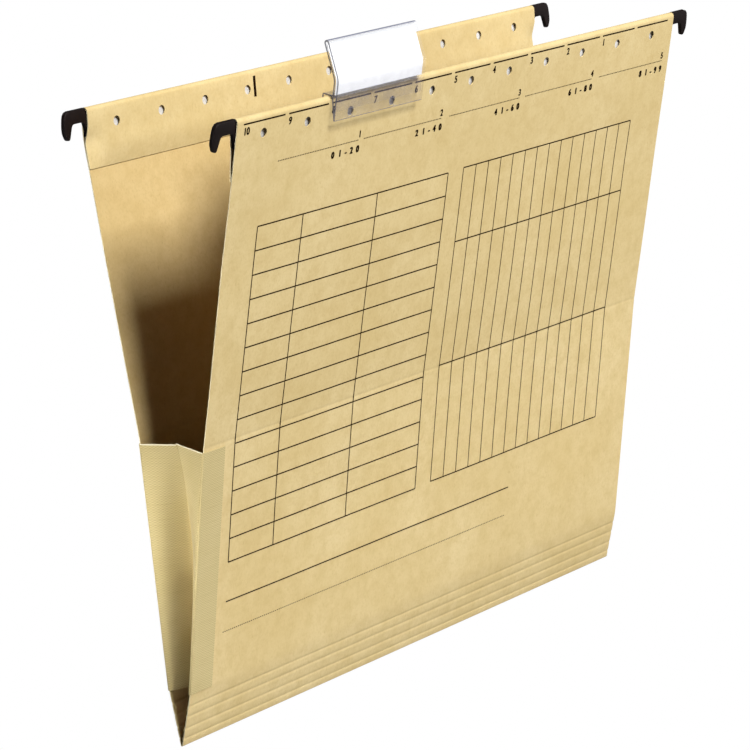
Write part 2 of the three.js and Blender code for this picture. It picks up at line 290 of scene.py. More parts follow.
def add_node(tree, kind, inputs=None, **settings):
    """Adds one node. Settings are its properties; inputs are values, or sockets to link from."""
    made = tree.nodes.new("ShaderNode" + kind)
    for name, value in settings.items():
        setattr(made, name, value)
    for socket, value in (inputs or {}).items():
        if isinstance(value, bpy.types.NodeSocket):
            tree.links.new(value, made.inputs[socket])
        else:
            made.inputs[socket].default_value = value
    return made


def new_finish(name, **surface):
    """A material, its nodes, its surface shader with the given plain values, and the place on the object that
    its patterns are drawn from."""
    finish = bpy.data.materials.new(name)
    finish.use_nodes = True
    tree = finish.node_tree
    shader = tree.nodes["Principled BSDF"]
    for socket, value in surface.items():
        shader.inputs[socket.replace("_", " ")].default_value = value
    return finish, tree, shader, add_node(tree, "TexCoord").outputs["Object"]


def pattern(tree, place, scale, detail=2.0, roughness=0.5):
    """Noise with a number of patches per metre of the place that it is drawn from."""
    values = {"Vector": place, "Scale": scale, "Detail": detail, "Roughness": roughness}
    return add_node(tree, "TexNoise", values).outputs[0]


def stretched(tree, place, scale):
    return add_node(tree, "Mapping", {"Vector": place, "Scale": scale}).outputs[0]


def maths(tree, operation, *values):
    return add_node(tree, "Math", dict(enumerate(values)), operation=operation).outputs[0]


def ranged(tree, value, least, most, low=0.0, high=1.0):
    """Goes from least to most while the value goes from low to high."""
    limits = {"Value": value, "From Min": low, "From Max": high, "To Min": least, "To Max": most}
    return add_node(tree, "MapRange", limits).outputs[0]


def mixed(tree, share, first, second):
    """A share of the second colour over the first. Each is a hex colour or another mix."""
    first, second = (linear(colour) if isinstance(colour, str) else colour for colour in (first, second))
    return add_node(tree, "Mix", {0: share, 6: first, 7: second}, data_type="RGBA").outputs[2]


def relief(tree, height, strength, depth):
    """The bumps of a pattern, with their depth in mm."""
    return add_node(tree, "Bump", {"Height": height, "Strength": strength, "Distance": depth * MM}).outputs[0]


def feed(tree, shader, **outputs):
    """Links outputs of nodes to the sockets of the surface shader that they are named after."""
    for socket, output in outputs.items():
        tree.links.new(output, shader.inputs[socket.replace("_", " ")])


# Natural kraft card, calendered on its outer side: matte, cloudy where the pulp lies thicker, with short
# darker fibres and paler cut edges. Clouds 45 mm, mottle 7 mm and finer, fibres 0.35 by 3 mm, tooth 1 mm.
# The inner side was left as it came off the wire: rougher, and a little darker, partly its own tone and
# partly painted shade that keeps the pocket's inside dark.
# What lies this near the sheet's side is its cut edge
edge_depth = 0.03


def kraft_finish(name, thin, thick, spots, fibre, least_rough):
    finish, tree, shader, place = new_finish(name, IOR=1.45, Specular_IOR_Level=0.35)
    clouds = pattern(tree, place, 22.0, 4.0, 0.55)
    mottle = pattern(tree, place, 140.0, 6.0, 0.72)
    fibres = pattern(tree, stretched(tree, place, (2800.0, 2800.0, 330.0)), 1.0)
    tooth = pattern(tree, place, 950.0)
    colour = mixed(tree, ranged(tree, clouds, 0.0, 1.0, 0.3, 0.7), thin, thick)
    colour = mixed(tree, ranged(tree, mottle, 0.0, 0.5, 0.42, 0.72), colour, spots)
    colour = mixed(tree, ranged(tree, tooth, 0.0, 0.3, 0.5, 0.75), colour, spots)
    colour = mixed(tree, ranged(tree, fibres, 0.0, 0.45, 0.6, 0.78), colour, fibre)
    across = maths(tree, "ABSOLUTE", add_node(tree, "SeparateXYZ", {0: place}).outputs[0])
    cut_edge = maths(tree, "GREATER_THAN", across, (half_width - edge_depth) * MM)
    feed(tree, shader, Base_Color=mixed(tree, cut_edge, colour, "EBDDB2"),
         Roughness=ranged(tree, mottle, least_rough, 0.9),
         Normal=relief(tree, maths(tree, "ADD", tooth, mottle), 0.35, 0.04))
    return finish


kraft = kraft_finish("kraft card, calendered side", "CFB881", "D8C390", "BFA56C", "AC8D54", 0.72)
# The inner side's darker colours are partly the wire side's own tone and partly painted shade for the
# pocket's inside.
wire_side_and_painted_shade = kraft_finish("kraft card, wire side, with painted shade", "C5AB74", "CFB681", "B5985F", "A28149", 0.8)
board.data.materials.append(kraft)
board.data.materials.append(wire_side_and_painted_shade)
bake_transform(board)
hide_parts("front_panel", "back_panel")

# The print: one dark brown ink, a film on the front panel's outer face. It is a ruled index table, a calendar
# grid, a scale of tab places along the hem, five dotted lines with plain numbers, and lines to write on.
ink_lift, ink_film = 0.05, 0.03
# The printed faces: outside in front, and behind on the turned-in edge, which faces the other way
side_out = {FRONT: 1, BACK: -1}
print_out = {FRONT: half_board, BACK: -2 * hem_radius - half_board}
# A figure's height as a share of the type size, how narrow it is set, and the step between its strokes in mm
figure_height, figure_width, pen_step = 0.72, 0.92, 0.22


def ink_point(side, x, s, height):
    """A place in the film of ink, whose height goes from 0 on the card to 1."""
    return board_point(side, x, s, print_out[side] + side_out[side] * (ink_lift + height * ink_film))


def ink_bar(bm, side, x0, x1, s0, s1, longest=4):
    """A bar of ink between two places on the board, cut into short lengths so that it follows the card."""
    first = len(bm.verts)
    made = bmesh.ops.create_cube(bm, size=1.0)
    wide, high = abs(x1 - x0), abs(s1 - s0)
    axis, length = (0, wide) if wide > high else (1, high)
    if length > longest:
        edges = {e for v in made["verts"] for e in v.link_edges}
        along = [e for e in edges if abs(e.verts[0].co[axis] - e.verts[1].co[axis]) > 0.5]
        bmesh.ops.subdivide_edges(bm, edges=along, cuts=int(length / longest), use_grid_fill=True)
    bm.verts.ensure_lookup_table()
    for vert in bm.verts[first:]:
        x = x0 + (x1 - x0) * (vert.co.x + 0.5)
        s = s0 + (s1 - s0) * (vert.co.y + 0.5)
        vert.co = ink_point(side, x, s, vert.co.z + 0.5)


def ruled(bm, u0, u1, s0, s1, weight):
    """A line, given from the panel's left edge, with its weight across it."""
    x0, x1 = u0 - half_width, u1 - half_width
    if s0 == s1:
        ink_bar(bm, FRONT, x0, x1, s0 - weight / 2, s0 + weight / 2)
    else:
        ink_bar(bm, FRONT, x0 - weight / 2, x0 + weight / 2, s0, s1)


def dotted(bm, u0, u1, s, pitch, weight=0.36, dot=0.62):
    for i in range(int((u1 - u0) / pitch)):
        ruled(bm, u0 + i * pitch, u0 + i * pitch + dot, s, s, weight)


def numerals(bm, words, u, s, height, pitch=0.0, right=False, pen=1):
    """Plain figures with their baseline at s, starting or ending at u. A pitch spaces them apart. Each is
    printed once or more side by side, which makes its strokes bolder."""
    chars = list(words) if pitch else [words]
    scale = height / figure_height
    for i, char in enumerate(chars):
        text = bpy.data.curves.new("figures", "FONT")
        text.body, text.size = char, 1.0
        # A unit deep, for the height of the film, and with slightly wider outlines
        text.extrude, text.offset = 0.5, 0.02
        holder = link("figures", text)
        shape = evaluated_mesh(holder)
        bpy.data.objects.remove(holder)
        start = u - half_width + i * pitch
        if right:
            width = max(v.co.x for v in shape.vertices) * scale
            start = u - half_width - width - (len(chars) - 1 - i) * pitch
        drawn = [vert.co.copy() for vert in shape.vertices]
        for stroke in range(pen):
            aside = pen_step * (stroke - (pen - 1) / 2)
            for vert, (x, y, z) in zip(shape.vertices, drawn):
                vert.co = ink_point(FRONT, start + x * scale * figure_width + aside, s + y * scale, z + 0.5)
            bm.from_mesh(shape)
        bpy.data.meshes.remove(shape)


ink = bmesh.new()
fine, medium, heavy = 0.42, 0.5, 0.62
# The index table: 14 rows in 3 columns
table_columns, table_low, table_high = (20.0, 49.6, 100.0, 150.8), 74.6, 215.6
for s in span(table_low, table_high, 14):
    ruled(ink, table_columns[0], table_columns[-1], s, s, medium)
for u in table_columns:
    ruled(ink, u, u, table_low, table_high, medium)
# The calendar grid: 14 columns in 3 bands
grid_left, grid_right, grid_bands = 162.2, 294.6, (75.2, 127.7, 183.3, 216.0)
for u in span(grid_left, grid_right, 14):
    ruled(ink, u, u, grid_bands[0], grid_bands[-1], fine)
for s in grid_bands:
    ruled(ink, grid_left, grid_right, s, s, medium)
# Two lines to write on, one drawn and one dotted
writing_end, drawn_start, drawn_height, dotted_start, dotted_height = 225.0, 20.0, 57.6, 19.0, 44.7
ruled(ink, drawn_start, writing_end, drawn_height, drawn_height, medium)
dotted(ink, dotted_start, writing_end, dotted_height, pitch=1.25)
# The scale of tab places, broken between the holes, with the figures 10 to 1
scale_left, first_break, scale_right, scale_break, scale_figures = 4.0, 31.75, 315.0, 1.2, 10
scale_height, figure_base, figure_inset, figure_size = 259.5, 255.1, 0.3, 3.0
breaks = [first_break + hole_pitch * i for i in range(scale_figures)]
scale_ends = [scale_left, *breaks, scale_right]
for i, (low, high) in enumerate(zip(scale_ends, scale_ends[1:])):
    start = low + (scale_break if i else 0.0)
    stop = high - (scale_break if i < scale_figures else 0.0)
    ruled(ink, start, stop, scale_height, scale_height, heavy)
    if i < scale_figures:
        numerals(ink, str(scale_figures - i), start + figure_inset, figure_base, figure_size, pen=2)
# Five tab positions: a dotted line each, its number on it and a range of numbers under it
dots_height, number_base, range_base, number_height = 240.9, 242.0, 235.9, 2.8
tab_positions = ((28.7, 83.3), (86.0, 141.5), (146.6, 199.6), (203.5, 257.1), (262.0, 315.0))
for i, (low, high) in enumerate(tab_positions):
    dotted(ink, low, high, dots_height, pitch=1.1)
    numerals(ink, str(i + 1), high, number_base, number_height, right=True, pen=2)
    words = f"{20 * i + 1:02d}-{min(20 * i + 20, 99)}"
    numerals(ink, words, high, range_base, number_height, pitch=4.2, right=True, pen=3)
printed = link("ink_front", mesh_of(ink, "ink_front"))

# The same ink marks the tab's place on the turned-in edge of the back panel
mark_left, mark_right, mark_low, mark_high = 107.0, 108.6, 250.6, 259.4
mark = bmesh.new()
ink_bar(mark, BACK, mark_left - half_width, mark_right - half_width, mark_low, mark_high)
back_mark = link("ink_back", mesh_of(mark, "ink_back"))

# Dark brown offset ink, dry and matte, a little thinner where the card's tooth, 1 mm wide, takes less of it
ink_finish, tree, shader, place = new_finish("offset ink", IOR=1.5, Specular_IOR_Level=0.03)
take = pattern(tree, place, 900.0)
feed(tree, shader, Base_Color=mixed(tree, ranged(tree, take, 0.0, 0.5, 0.45, 0.8), "1A0C02", "3A2408"),
     Roughness=ranged(tree, take, 0.55, 0.8))
for piece, body in ((printed, "front"), (back_mark, "back")):
    piece.data.materials.append(ink_finish)
    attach(piece, body)

# The rails: one strip of steel 9 mm high and 0.6 mm thick in each hem, slit from coil and zinc plated. Its
# ends are pressed into the hooks, the glued hem holds it bowed, and it shows through the punched holes.
rail_thickness, rail_height, rail_half, rail_top = 0.6, 9.0, 154.7, 2.85
# Bow outwards at the middle, and how much more at the right end. It dies out over a length before the hooks
rail_bow = {FRONT: (0.35, 0.3), BACK: (-0.45, 0.0)}
bow_end, bow_run = 147, 14
rails = []
for side, side_name in SIDES.items():

    def on_rail(across, up, side=side):
        x = (across - 0.5) * 2 * rail_half
        middle_bow, skew = rail_bow[side]
        bow = (middle_bow + skew * x / rail_half) * ease((bow_end - abs(x)) / bow_run)
        return board_point(side, x, board_height - rail_top - rail_height * (1 - up), bow - hem_radius)

    rail = grid_piece(f"{side_name}_rail_strip", columns=60, rows=4, place=on_rail)
    thicken(rail, rail_thickness)
    bake_modifiers(rail)
    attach(rail, side_name)
    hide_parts(f"{side_name}_rail")
    rails.append(rail)

# Zinc-plated steel: light grey and half dull, with fine streaks along it from rolling, every 0.25 mm
steel, tree, shader, place = new_finish("zinc-plated steel", Metallic=0.55)
streaks = pattern(tree, stretched(tree, place, (60.0, 4000.0, 4000.0)), 1.0, 3.0)
feed(tree, shader, Base_Color=mixed(tree, streaks, "E4E5E6", "FAFAFA"),
     Roughness=ranged(tree, streaks, 0.45, 0.6), Normal=relief(tree, streaks, 0.2, 0.01))
for rail in rails:
    rail.data.materials.append(steel)

# The hooks: moulded black nylon, 2 mm thick, one at each end of each hem. The root sits in the channel and
# grips the rail in a slot; the arm reaches out of the side and down over the rail of the cabinet.
hook_thickness, hook_round = 2.0, 0.38
root_length, root_top, root_bottom = 14.0, 1.7, 13.0
# Outline, outwards from the panel's side and down from its top edge
hook_outline = [
    (0.3, root_top), (0.3, 0.25), (0.55, 0.0), (10.3, 0.0), (11.8, 0.45), (12.7, 1.5), (13.1, 2.8),
    (13.4, 4.6), (13.6, 6.6), (13.5, 8.6), (12.9, 10.1), (12.3, 11.2), (11.7, 11.6), (11.0, 11.65),
    (10.5, 11.3), (10.2, 10.6), (9.85, 9.6), (9.4, 8.2), (8.95, 6.9), (8.5, 6.1), (7.8, 5.65), (7.2, 5.6),
    (2.2, 5.6), (1.5, 5.8), (1.05, 6.5), (0.0, 9.2), (0.0, root_bottom - 1.5), (-1.5, root_bottom),
    (-root_length, root_bottom), (-root_length, root_top),
]
# The slot for the rail, how far it lies below the root's top, and how far past the root its cutter starts
slot_height, slot_gap, slot_depth, slot_drop, slot_past = 9.5, 1.1, 9.0, 0.9, 1.0
# The root is thinned where the hem is pressed flat on it. It is full again this far outside the panel's side
full_again = 2
# The top of a hem is straight over this height
hem_straight = 10


def extrude(bm, corners, way):
    """Fills an outline and extrudes it along a vector."""
    face = bm.faces.new([bm.verts.new(corner) for corner in corners])
    grown = bmesh.ops.extrude_face_region(bm, geom=[face])
    moved = [v for v in grown["geom"] if isinstance(v, bmesh.types.BMVert)]
    bmesh.ops.translate(bm, vec=way, verts=moved)


def round_edges(bm, edges, radius):
    bmesh.ops.bevel(bm, geom=edges, offset=radius, offset_type="OFFSET", segments=3, profile=0.5,
                    affect="EDGES", clamp_overlap=True, material=-1)


def hook_frame(side, end):
    """Moves the hook's plan, outwards, through and down in mm, to its place in the hem."""
    corner = board_point(side, end * half_width, board_height, -hem_radius)
    top, lower = (board_point(side, 0, board_height - drop, -hem_radius) for drop in (0, hem_straight))
    down = (lower - top) / (hem_straight * MM)
    facing = facing_at(side, board_height - hem_straight / 2)

    def to_place(outward, through, drop):
        return corner + Vector((end * outward * MM, 0, 0)) + facing * through + down * drop * MM

    return to_place


hooks = []
for side, side_name in SIDES.items():
    for end, end_name in ENDS.items():
        to_place = hook_frame(side, end)
        name = f"{side_name}_{end_name}_hook_moulding"
        bm = bmesh.new()
        extrude(bm, [(outward, -hook_thickness / 2, -drop) for outward, drop in hook_outline],
                (0, hook_thickness, 0))
        round_edges(bm, [e for e in bm.edges if abs(e.verts[0].co.y - e.verts[1].co.y) < 0.1], hook_round)
        for vert in bm.verts:
            outward, through, drop = vert.co.x, vert.co.y, -vert.co.z
            thinner = pinch(side, half_width + outward, board_height - drop)
            thinner *= ease((full_again - outward) / full_again)
            vert.co = to_place(outward, (through - hem_radius) * (1 - thinner) + hem_radius, drop)
        bmesh.ops.recalc_face_normals(bm, faces=bm.faces)
        hook = link(name, mesh_of(bm, name, sharp=30))
        slot = bmesh.new()
        bmesh.ops.create_cube(slot, size=1.0)
        for vert in slot.verts:
            across = -root_length - slot_past + (slot_depth + slot_past) * (vert.co.x + 0.5)
            drop = root_top + slot_drop + slot_height * (vert.co.z + 0.5)
            vert.co = to_place(across, vert.co.y * slot_gap, drop)
        bmesh.ops.recalc_face_normals(slot, faces=slot.faces)
        cut_or_join(hook, link("slot", mesh_of(slot, "slot")), "DIFFERENCE")
        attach(hook, side_name)
        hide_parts(f"{side_name}_{end_name}_hook")
        hooks.append(hook)

# Black nylon 6, injection moulded in a spark-eroded tool: a fine even grain of 0.5 mm and a satin shine
nylon, tree, shader, place = new_finish("moulded black nylon", IOR=1.53, Specular_IOR_Level=0.15)
grain, flow = pattern(tree, place, 2000.0), pattern(tree, place, 180.0)
feed(tree, shader, Base_Color=mixed(tree, flow, "0F0807", "1B110F"), Roughness=ranged(tree, flow, 0.5, 0.65),
     Normal=relief(tree, grain, 0.3, 0.03))
for hook in hooks:
    hook.data.materials.append(nylon)

# The gussets: a strip of buff bookbinding linen on each side, 102.5 mm tall, folded inwards like a bellows.
# The left strip's long edges wrap round the panels' sides and are glued outside. The right strip's are glued
# inside, and bend round there into its leaves.
cloth_thickness, glued_width, leaf_width = 0.3, 13.5, {LEFT: 16.2, RIGHT: 15.5}
half_cloth = cloth_thickness / 2
cloth_top = 125.5
gusset_length = cloth_top - crease_height
# The crease in the middle: its radius, and how much higher its upper end stands than the glued edges
crease_round, crease_rise = 0.6, 0.9
# How far a leaf bulges by the cloth's stiffness, less where it is glued inside. The bulge dies out towards a
# height past the cloth's top and towards a low one, each over a run
leaf_bow, bow_share = {FRONT: 0.8, BACK: 1.6}, {LEFT: 1.0, RIGHT: 0.3}
bow_past_top, bow_top_run, bow_low, bow_low_run = 12, 50, 5, 40
# Where a leaf starts, beyond the panel's side and outwards, and the share of the leaf that this moves
leaf_start, start_share = {LEFT: (0.45, 0.4), RIGHT: (0.0, 0.0)}, 0.3
# Room between the board and the leaf's start
leaf_room = {LEFT: 0.3, RIGHT: 1.0}
# Radius and turn of the bend from the glued part into the leaf, and how far the left one stands off
wraps, wrap_reach = {LEFT: (0.34, 0.75 * math.pi), RIGHT: (0.49, 0.85 * math.pi)}, 0.2
glue_out = half_board + half_cloth + 0.02


def leaf_ends(side, end, s):
    """At a height up the board: how high the glued edge lies, its distance from the middle plane, and the
    crease's distance inwards. The front leaf is as wide as the cloth allows; the back one meets it there."""
    room = half_board + leaf_room[end] + half_cloth
    height, edge = {}, {}
    for each in SIDES:
        flat = board_point(each, end * half_width, s)
        height[each], edge[each] = flat.z / MM, abs(flat.y / MM - fold_line.y) - room
    inset = math.sqrt(max(leaf_width[end] ** 2 - (edge[FRONT] - half_cloth) ** 2, 1.0))
    return height[side], edge[side], inset


def leaf_profile(edge, inset, share, bow, start):
    """A point of the leaf in plan, inwards and outwards. It bulges a little by the cloth's stiffness, most
    near its glued edge, and its last part is rounded into the other leaf."""
    turn = math.atan2(inset, edge)
    corner = crease_round * math.tan(turn / 2)
    corner_inset = inset * (edge - corner) / edge
    straight = math.hypot(corner_inset, edge - corner) - corner
    along = share * (straight + crease_round * turn)
    direction = Vector((math.sin(turn), -math.cos(turn)))
    facing_out = Vector((-math.cos(turn), -math.sin(turn)))
    if along <= straight:
        part = along / straight
        bulge = bow * math.sin(math.pi * part ** 0.7) * (1 - 0.5 * part)
        near = ease(1 - part / start_share)
        return Vector((-start[0] * near, edge + start[1] * near)) + direction * along + facing_out * bulge
    bent = (along - straight) / crease_round
    centre = Vector((0, edge)) + direction * straight + facing_out * crease_round
    facing = turn - bent
    return centre + Vector((math.cos(facing), math.sin(facing))) * crease_round


def cloth_piece(name, columns, rows, place, width, length, foot):
    """A piece of cloth with its thickness. Its UV map is its flat measure in metres, from its foot up."""
    piece = grid_piece(name, columns, rows, place)
    weave = piece.data.uv_layers.new(name="cut")
    for loop in piece.data.loops:
        row, column = divmod(loop.vertex_index, columns + 1)
        weave.data[loop.index].uv = (column / columns * width * MM, foot * MM + row / rows * length * MM)
    thicken(piece, cloth_thickness)
    return bake_modifiers(piece, sharp=60)


linen_pieces = []
# Each leaf is made in three lengths, and each turns by its own share between two heights above the fold
leaf_zones = {"lower": (crease_height, 82.0, -26.0, 180.0), "middle": (82.0, 112.0, -3.0, 159.0),
              "upper": (112.0, cloth_top, 69.0, 129.0)}
for end, end_name in ENDS.items():
    for side, side_name in SIDES.items():
        for zone, (low, high, blend_low, blend_high) in leaf_zones.items():

            def on_leaf(across, up, side=side, end=end, low=low, high=high):
                s = low + (high - low) * up
                z, edge, inset = leaf_ends(side, end, s)
                bow = leaf_bow[side] * bow_share[end] * ease((cloth_top + bow_past_top - s) / bow_top_run)
                bow *= ease((s - bow_low) / bow_low_run)
                inward, outward = leaf_profile(edge, inset, across, bow, leaf_start[end])
                rise = crease_rise * across * (s - crease_height) / gusset_length
                return Vector((end * (half_width - inward), fold_line.y + side * outward, z + rise)) * MM

            rows = max(6, round((high - low) / 3))
            leaf = cloth_piece(f"{end_name}_{side_name}_leaf_{zone}", 14, rows, on_leaf,
                               leaf_width[end], high - low, low)
            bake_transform(leaf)
            if zone == "lower":
                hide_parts(f"{end_name}_{side_name}_leaf")
            linen_pieces.append(leaf)

        wrap_radius, wrap_turn = wraps[end]
        flap_width = glued_width + wrap_turn * wrap_radius

        def on_flap(across, up, side=side, end=end, radius=wrap_radius):
            s = crease_height + gusset_length * up
            out = glue_out if end == LEFT else -glue_out
            angle = max(across * flap_width - glued_width, 0.0) / radius
            if not angle:
                return board_point(side, end * (half_width - glued_width + across * flap_width), s, out)
            arm = radius + (wrap_reach if end == LEFT and angle > math.pi / 2 else 0.0)
            x = end * (half_width + radius * math.sin(angle))
            return board_point(side, x, s, out - radius + arm * math.cos(angle))

        flap = cloth_piece(f"{end_name}_{side_name}_flap_cloth", 24, 36, on_flap,
                           flap_width, gusset_length, crease_height - 1)
        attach(flap, side_name)
        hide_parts(f"{end_name}_{side_name}_flap")
        linen_pieces.append(flap)

# Buff linen buckram, plain weave and sized with glue: slightly stiff and matte, paler at its cut upper edge.
# Its threads are drawn every 0.9 mm across and 0.5 mm up, about twice as coarse as the real cloth, so that
# they show. Slubs of 11 by 0.8 mm make some threads darker, and the glue leaves faint marks of 17 mm.
thread_pair, thread, raw_edge = 1.75, 1.05, 0.45
linen, tree, shader, place = new_finish("bookbinding linen", IOR=1.46, Specular_IOR_Level=0.25,
                                        Sheen_Weight=0.15, Sheen_Roughness=0.5)
cut_place = add_node(tree, "UVMap", uv_map="cut").outputs[0]
turns = stretched(tree, cut_place, (2 * math.pi / (thread_pair * MM), 2 * math.pi / (thread * MM), 1.0))
warp, weft = (maths(tree, "SINE", turn) for turn in add_node(tree, "SeparateXYZ", {0: turns}).outputs[:2])
plain_weave = maths(tree, "MULTIPLY_ADD", maths(tree, "MULTIPLY", warp, weft), 0.5, 0.5)
ribs = maths(tree, "MULTIPLY_ADD", weft, 0.12, plain_weave)
slubs = pattern(tree, stretched(tree, cut_place, (90.0, 1300.0, 1.0)), 1.0, 3.0)
size_marks = pattern(tree, place, 60.0, 3.0)
colour = mixed(tree, size_marks, "C1AF78", "CFBE8B")
colour = mixed(tree, ranged(tree, ribs, 0.0, 0.42, 0.85, 0.1), colour, "907D4C")
colour = mixed(tree, ranged(tree, slubs, 0.0, 0.2, 0.52, 0.75), colour, "9F8B55")
height = add_node(tree, "SeparateXYZ", {0: cut_place}).outputs[1]
raw = maths(tree, "GREATER_THAN", height, (cloth_top - raw_edge) * MM)
feed(tree, shader, Base_Color=mixed(tree, raw, colour, "F1E8C6"), Roughness=ranged(tree, ribs, 0.95, 0.75),
     Normal=relief(tree, ribs, 0.4, 0.1))
for piece in linen_pieces:
    piece.data.materials.append(linen)

# The tab: extruded clear plastic, 0.7 mm thick, sawn to 60 mm. Its folded window leans back above the hem and
# holds the label. From the front wall's lower edge a clip rises along the card, passes over the hem and ends
# in a short leg behind it. Two studs reach from the front wall through the clip into two of the holes.
tab_width, tab_wall, tab_gap = 60.0, 0.7, 1.0
tab_left = hole_places[2] - 14.4
tab_right = tab_left + tab_width
tab_front, tab_drop, leg_drop = 2.75, 9.3, 6.0
bend_start, bend_length, lean_length, tab_lean = 5.5, 4.0, 13.3, math.radians(26)
bend_radius, leaning = bend_length / tab_lean, Vector((-math.sin(tab_lean), math.cos(tab_lean)))
hem_gap = 0.3
clear_of_hem = hem_gap + tab_wall / 2
over_top = half_board + clear_of_hem
behind = -2 * hem_radius - half_board - clear_of_hem
hem_top = board_point(FRONT, 0, board_height - 1e-3)
half_straight = hem_straight / 2
# A millimetre outwards and a millimetre upwards there, in metres
hem_out = facing_at(FRONT, board_height - half_straight)
higher, lower = (board_point(FRONT, 0, board_height - drop) for drop in (half_straight, hem_straight))
hem_up = (higher - lower) / half_straight


def in_hem_frame(x, outward, up):
    """A place given in mm across, outwards from the front panel's middle surface and up from its top edge."""
    return hem_top + Vector((x * MM, 0, 0)) + hem_out * outward + hem_up * up


def window_path(shift, floor, top_gap=0.0):
    """The window's front wall from the side, moved back by shift, bent evenly from upright to leaning."""
    points = [Vector((tab_front - shift, floor))]
    centre = Vector((tab_front - bend_radius, bend_start))
    for angle in span(0.0, tab_lean, 6):
        points.append(centre + Vector((math.cos(angle), math.sin(angle))) * (bend_radius - shift))
    points.append(points[-1] + leaning * (lean_length - top_gap))
    return points


def strip_outline(points, thickness, least_mitre=0.3):
    """Both sides of a path of points, mitred, as one closed outline."""
    sides = ([], [])
    for i, point in enumerate(points):
        before = (point - points[i - 1]).normalized() if i else None
        after = (points[i + 1] - point).normalized() if i + 1 < len(points) else before
        direction = ((before or after) + after).normalized()
        normal = Vector((-direction.y, direction.x))
        spread = thickness / 2 / max(normal.dot(Vector((-after.y, after.x))), least_mitre)
        sides[0].append(point + normal * spread)
        sides[1].append(point - normal * spread)
    return sides[0] + sides[1][::-1]


def hem_extrusion(name, corners, way):
    """An extrusion in the hem's frame of corners given across, outwards and up."""
    bm = bmesh.new()
    extrude(bm, corners, way)
    for vert in bm.verts:
        vert.co = in_hem_frame(*vert.co)
    bmesh.ops.recalc_face_normals(bm, faces=bm.faces)
    return link(name, mesh_of(bm, name, sharp=28))


def tab_strip(name, points, thickness, end_gap=0.0):
    """A strip of plastic or card along a path, extruded over the tab's width or a little less."""
    x0, x1 = tab_left + end_gap, tab_right - end_gap
    return hem_extrusion(name, [(x0, p.x, p.y) for p in strip_outline(points, thickness)], (x1 - x0, 0, 0))


front_wall = window_path(0.0, -tab_drop)
back_wall = window_path(tab_wall + tab_gap, clear_of_hem)
middle, reach = (front_wall[-1] + back_wall[-1]) / 2, (front_wall[-1] - back_wall[-1]) / 2
top_turn = [middle + reach * math.cos(angle) + leaning * reach.length * math.sin(angle)
            for angle in span(0.0, math.pi, 6)[1:-1]]
tab = tab_strip("clear_tab", front_wall + top_turn + back_wall[::-1], tab_wall)
clip = ((tab_front, -tab_drop), (over_top + 0.12, clear_of_hem - 1.2), (over_top, clear_of_hem),
        (behind + 0.5, clear_of_hem + 0.02), (behind + 0.12, clear_of_hem - 0.14),
        (behind, clear_of_hem - 0.6), (behind, -leg_drop))
cut_or_join(tab, tab_strip("clip", [Vector(p) for p in clip], tab_wall), "UNION")
# The window's floor, just above the top of the hem
ledge = [Vector((over_top, clear_of_hem)), Vector((tab_front, clear_of_hem))]
cut_or_join(tab, tab_strip("ledge", ledge, tab_wall), "UNION")
# The lower right corner is cut off at a slant. The cutter starts before the hem and goes well past the tab
snip_width, snip_start, snip_depth, past_side, past_foot = 8.4, 0.6, 8, 5, 20
snip_corners = ((0, 0), (-snip_width, -tab_drop - tab_wall), (-snip_width, -past_foot),
                (past_side, -past_foot), (past_side, 0))
snip = hem_extrusion("snip", [(tab_right + x, snip_start, up) for x, up in snip_corners], (0, snip_depth, 0))
cut_or_join(tab, snip, "DIFFERENCE")
stud_radius, stud_in, stud_out, stud_round, stud_places = 1.6, -0.4, 2.45, 0.35, hole_places[2:4]
for place_x in stud_places:
    stud = bmesh.new()
    bmesh.ops.create_cone(stud, cap_ends=True, segments=24, radius1=stud_radius, radius2=stud_radius,
                          depth=stud_out - stud_in)
    round_edges(stud, [e for e in stud.edges if all(v.co.z < 0 for v in e.verts)], stud_round)
    for vert in stud.verts:
        x, y, z = vert.co
        vert.co = in_hem_frame(place_x + x, (stud_out + stud_in) / 2 + z, -hole_drop + y)
    bmesh.ops.recalc_face_normals(stud, faces=stud.faces)
    cut_or_join(tab, link("stud", mesh_of(stud, "stud")), "UNION")

# Clear rigid PVC, IOR 1.53, polished by the die: hardly seen from the front, glossier at a slant. Handling
# leaves fine hazy scuffs of 3 mm.
clear, tree, shader, place = new_finish("clear rigid PVC", IOR=1.53, Base_Color=linear("C9CFDC"))
slant = add_node(tree, "LayerWeight", {"Blend": 0.5}).outputs["Facing"]
scuffs = pattern(tree, place, 320.0, 4.0)
feed(tree, shader, Roughness=ranged(tree, scuffs, 0.05, 0.16, 0.45, 0.8),
     Alpha=ranged(tree, maths(tree, "POWER", slant, 3.0), 0.02, 0.6))
tab.data.materials.append(clear)

# The same PVC where it was sawn to length, and along its folded top and lower edge, seen along its depth.
# Its dark blue-grey is painted shade for the light caught inside the plastic, and it is dull. Saw marks 0.7
# mm
edge_shade_finish, tree, shader, place = new_finish("PVC edge with painted shade", IOR=1.53, Base_Color=linear("5C6079"), Alpha=0.8)
feed(tree, shader, Roughness=ranged(tree, pattern(tree, place, 1500.0), 0.35, 0.6))
tab.data.materials.append(edge_shade_finish)

# The clip is seen through two walls of the same PVC, dulled by rubbing on the card, so it greys what lies
# behind it. The haze has patches of 4 mm
rubbed, tree, shader, place = new_finish("rubbed PVC clip", IOR=1.53, Base_Color=linear("857C86"))
haze = pattern(tree, place, 260.0, 4.0)
feed(tree, shader, Alpha=ranged(tree, haze, 0.04, 0.13, 0.3, 0.7), Roughness=ranged(tree, haze, 0.12, 0.3))
tab.data.materials.append(rubbed)
